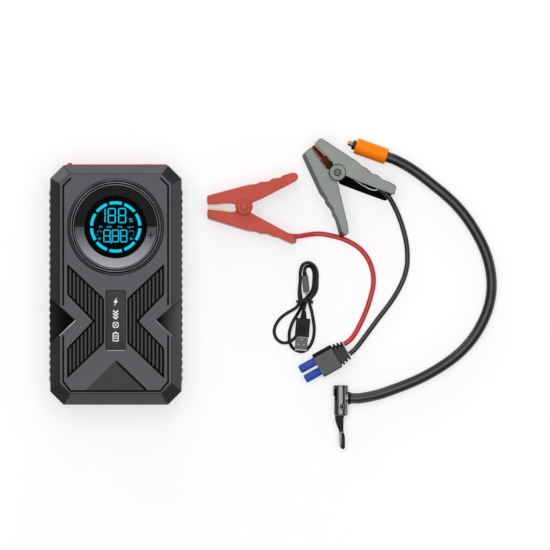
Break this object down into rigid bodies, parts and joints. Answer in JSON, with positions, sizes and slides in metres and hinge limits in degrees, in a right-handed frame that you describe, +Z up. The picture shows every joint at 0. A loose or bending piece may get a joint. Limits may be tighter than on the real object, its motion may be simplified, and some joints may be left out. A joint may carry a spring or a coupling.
{
  "type": "jump starter pack",
  "caption": "Portable vehicle jump starter with tyre inflator: dial-faced power unit, clamp lead with plug, air hose with chuck, and a tied charging lead.",
  "frame": {"origin": "middle of the power unit's flat underside, on the surface everything lies on", "axes": "+Z up out of the dial's face, +Y towards the end with the ports, +X towards the leads and hose lying beside the unit"},
  "size_m": [0.3891, 0.2716, 0.0492],
  "materials": {
    "shell_plastic": "fine moulded texture, dark grey",
    "dark_plastic": "satin black",
    "gloss_black": "polished black",
    "key_grey": "metallic grey paint",
    "trim_chrome": "plated trim",
    "red_plastic": "satin red",
    "clamp_red": "red dipped coating",
    "clamp_black": "black dipped coating",
    "red_cable_rubber": "smooth red jacket",
    "black_rubber": "smooth black rubber",
    "hose_rubber": "smooth dark hose",
    "plug_blue": "blue nylon",
    "orange_plastic": "polished orange",
    "copper": "bright copper plating",
    "brass": "turned brass",
    "chrome": "plated",
    "steel": "plain steel",
    "cast_alloy": "as cast",
    "white_nylon": "moulded nylon",
    "circuit_board": "solder mask",
    "cell_foil": "foil pouch",
    "clear_lens": "clear, polished",
    "grey_plastic": "satin grey"
  },
  "bodies": {
    "power_unit": {"bottom_shell": "dark_plastic", "top_shell": "shell_plastic", "side_grip_left": "black_rubber", "side_grip_right": "black_rubber", "case_screw_1": "steel", "case_screw_2": "steel", "case_screw_3": "steel", "case_screw_4": "steel", "label_plate": "gloss_black", "dial_bezel": "dark_plastic", "dial_trim_ring": "trim_chrome", "dial_gloss_arc": "gloss_black", "display_module": "circuit_board", "display_lens": "gloss_black", "port_panel": "red_plastic", "torch_reflector": "chrome", "torch_lens": "clear_lens", "usb_a_socket": "steel", "usb_c_socket": "steel", "air_outlet": "brass", "ec5_socket": "plug_blue", "battery_cell_1": "cell_foil", "battery_cell_2": "cell_foil", "battery_cell_3": "cell_foil", "motor": "steel", "pump_body": "cast_alloy", "main_board": "circuit_board"},
    "dial_key": {"dial_key": "key_grey"},
    "power_button": {"power_button": "dark_plastic"},
    "port_flap": {"port_flap": "black_rubber"},
    "crank": {"crank_gear": "white_nylon"},
    "motor_pinion": {"pinion": "steel"},
    "piston": {"piston": "cast_alloy"},
    "jumper_lead": {"plug_boot": "black_rubber", "plug_housing": "plug_blue", "red_cable": "red_cable_rubber", "black_cable": "black_rubber", "red_fixed_handle": "clamp_red", "red_fixed_jaw": "copper", "red_rivet": "steel", "red_spring": "steel", "black_fixed_handle": "clamp_black", "black_fixed_jaw": "copper", "black_rivet": "steel", "black_spring": "steel"},
    "red_clamp_arm": {"red_moving_handle": "clamp_red", "red_moving_jaw": "copper"},
    "black_clamp_arm": {"black_moving_handle": "clamp_black", "black_moving_jaw": "copper"},
    "air_hose": {"hose": "hose_rubber", "hose_collar": "orange_plastic", "hose_nipple": "brass", "chuck_body": "chrome", "chuck_pin": "steel"},
    "chuck_lever": {"chuck_lever": "black_rubber"},
    "charging_lead": {"usb_cord": "black_rubber", "usb_a_body": "black_rubber", "usb_a_shell": "steel", "usb_c_plug": "grey_plastic", "cable_tie": "black_rubber"}
  },
  "joints": [
    {"name": "dial_key_rock", "type": "hinge", "parent": "power_unit", "child": "dial_key", "pos_m": [0, 0.0504, 0.044], "axis": [0, 1, 0], "range_deg": [-1.5, 1.5], "stiffness_Nm_per_rad": 0.4},
    {"name": "power_button_press", "type": "slide", "parent": "power_unit", "child": "power_button", "axis": [0, -1, 0], "range_m": [0, 0.001], "stiffness_N_per_m": 400},
    {"name": "port_flap_open", "type": "hinge", "parent": "power_unit", "child": "port_flap", "pos_m": [0.028, 0.1049, 0.0367], "axis": [1, 0, 0], "range_deg": [0, 120]},
    {"name": "crank_turn", "type": "hinge", "parent": "power_unit", "child": "crank", "pos_m": [-0.0044, 0.058, 0.019], "axis": [1, 0, 0], "continuous": true},
    {"name": "pinion_turn", "type": "hinge", "parent": "power_unit", "child": "motor_pinion", "pos_m": [-0.0044, 0.0405, 0.019], "axis": [1, 0, 0], "continuous": true},
    {"name": "piston_stroke", "type": "slide", "parent": "power_unit", "child": "piston", "axis": [0, 1, 0], "range_m": [-0.005, 0.005]},
    {"name": "jumper_lead_lift", "type": "slide", "parent": "power_unit", "child": "jumper_lead", "axis": [0, 0, 1], "range_m": [0, 0.12]},
    {"name": "red_clamp_squeeze", "type": "hinge", "parent": "jumper_lead", "child": "red_clamp_arm", "pos_m": [0.1114, 0.0683, 0.012], "axis": [0, 0, -1], "range_deg": [0, 35], "stiffness_Nm_per_rad": 0.4, "springref_deg": -28.65, "deforming": ["red_spring"]},
    {"name": "black_clamp_squeeze", "type": "hinge", "parent": "jumper_lead", "child": "black_clamp_arm", "pos_m": [0.1927, 0.0979, 0.012], "axis": [0, 0, 1], "range_deg": [0, 35], "stiffness_Nm_per_rad": 0.4, "springref_deg": -28.65, "deforming": ["black_spring"]},
    {"name": "air_hose_lift", "type": "slide", "parent": "power_unit", "child": "air_hose", "axis": [0, 0, 1], "range_m": [0, 0.12]},
    {"name": "chuck_lever_swing", "type": "hinge", "parent": "air_hose", "child": "chuck_lever", "pos_m": [0.1971, -0.1061, 0.0063], "axis": [0, 0, -1], "range_deg": [0, 90]},
    {"name": "charging_lead_lift", "type": "slide", "parent": "power_unit", "child": "charging_lead", "axis": [0, 0, 1], "range_m": [0, 0.12]}
  ],
  "couplings": [
    {"joint": "pinion_turn", "follows": "crank_turn", "ratio": -4}
  ]
}
